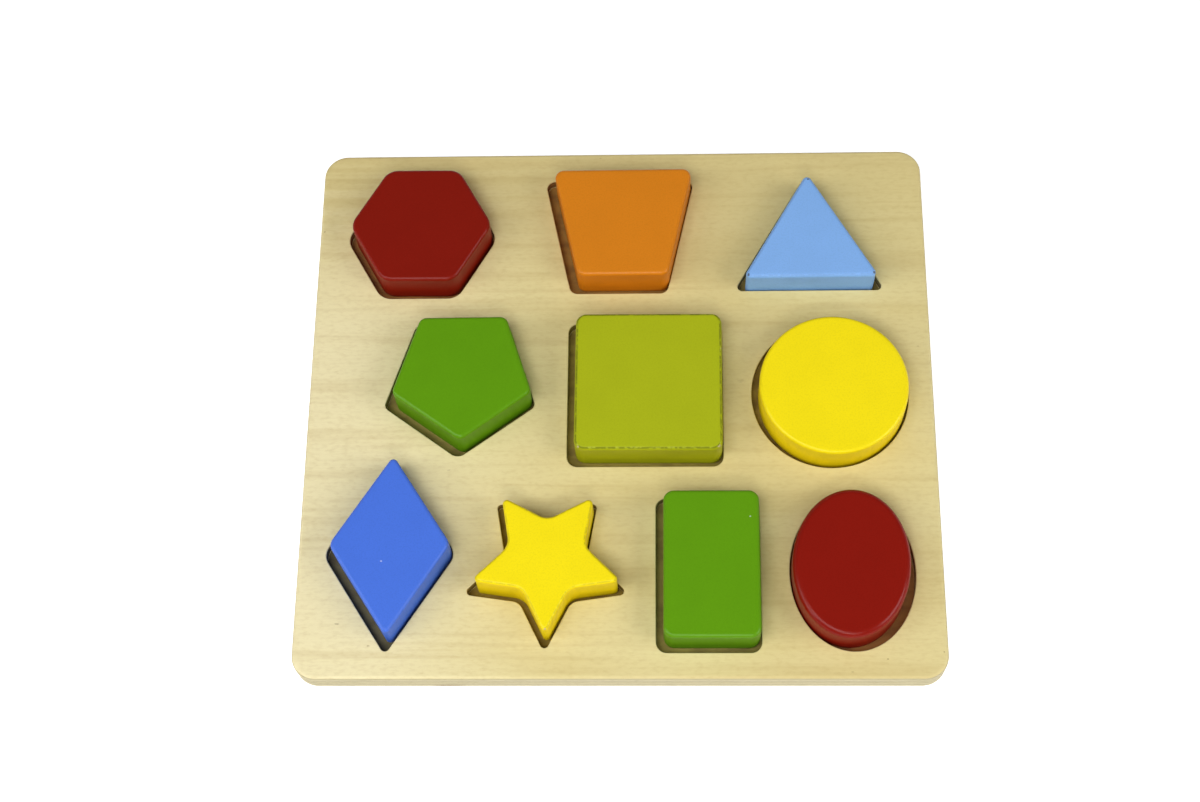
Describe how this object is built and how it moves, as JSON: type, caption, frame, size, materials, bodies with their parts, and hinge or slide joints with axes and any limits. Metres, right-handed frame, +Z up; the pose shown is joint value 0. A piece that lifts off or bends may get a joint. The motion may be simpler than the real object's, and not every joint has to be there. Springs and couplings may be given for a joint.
{
  "type": "wooden shape puzzle board",
  "caption": "Wooden shape-sorting puzzle: a plywood board with shallow cut-out recesses and thick painted geometric blocks that drop into them and lift out.",
  "frame": {"origin": "middle of the board's underside, on the surface that it lies on", "axes": "+X along the board's long side, +Z up, -Y towards the child, the side nearest the camera in the picture"},
  "size_m": [0.3, 0.2714, 0.0283],
  "materials": {
    "plywood": "sanded pale plywood with a thin satin varnish",
    "paint_blue": "satin gloss paint on solid wood",
    "paint_yellow": "satin gloss paint on solid wood",
    "paint_green": "satin gloss paint on solid wood",
    "paint_red": "satin gloss paint on solid wood",
    "paint_lime": "satin gloss paint on solid wood",
    "paint_orange": "satin gloss paint on solid wood",
    "paint_light_blue": "satin gloss paint on solid wood"
  },
  "bodies": {
    "board": {"frame_plate": "plywood", "base_plate": "plywood"},
    "rhombus": {"rhombus_block": "paint_blue"},
    "star": {"star_block": "paint_yellow"},
    "rectangle": {"rectangle_block": "paint_green"},
    "oval": {"oval_block": "paint_red"},
    "pentagon": {"pentagon_block": "paint_green"},
    "square": {"square_block": "paint_lime"},
    "circle": {"circle_block": "paint_yellow"},
    "hexagon": {"hexagon_block": "paint_red"},
    "trapezoid": {"trapezoid_block": "paint_orange"},
    "triangle": {"triangle_block": "paint_light_blue"}
  },
  "joints": [
    {"name": "rhombus_lift", "type": "slide", "parent": "board", "child": "rhombus", "axis": [0, 0, 1], "range_m": [0, 0.04]},
    {"name": "star_lift", "type": "slide", "parent": "board", "child": "star", "axis": [0, 0, 1], "range_m": [0, 0.04]},
    {"name": "rectangle_lift", "type": "slide", "parent": "board", "child": "rectangle", "axis": [0, 0, 1], "range_m": [0, 0.04]},
    {"name": "oval_lift", "type": "slide", "parent": "board", "child": "oval", "axis": [0, 0, 1], "range_m": [0, 0.04]},
    {"name": "pentagon_lift", "type": "slide", "parent": "board", "child": "pentagon", "axis": [0, 0, 1], "range_m": [0, 0.04]},
    {"name": "square_lift", "type": "slide", "parent": "board", "child": "square", "axis": [0, 0, 1], "range_m": [0, 0.04]},
    {"name": "circle_lift", "type": "slide", "parent": "board", "child": "circle", "axis": [0, 0, 1], "range_m": [0, 0.04]},
    {"name": "hexagon_lift", "type": "slide", "parent": "board", "child": "hexagon", "axis": [0, 0, 1], "range_m": [0, 0.04]},
    {"name": "trapezoid_lift", "type": "slide", "parent": "board", "child": "trapezoid", "axis": [0, 0, 1], "range_m": [0, 0.04]},
    {"name": "triangle_lift", "type": "slide", "parent": "board", "child": "triangle", "axis": [0, 0, 1], "range_m": [0, 0.04]}
  ]
}
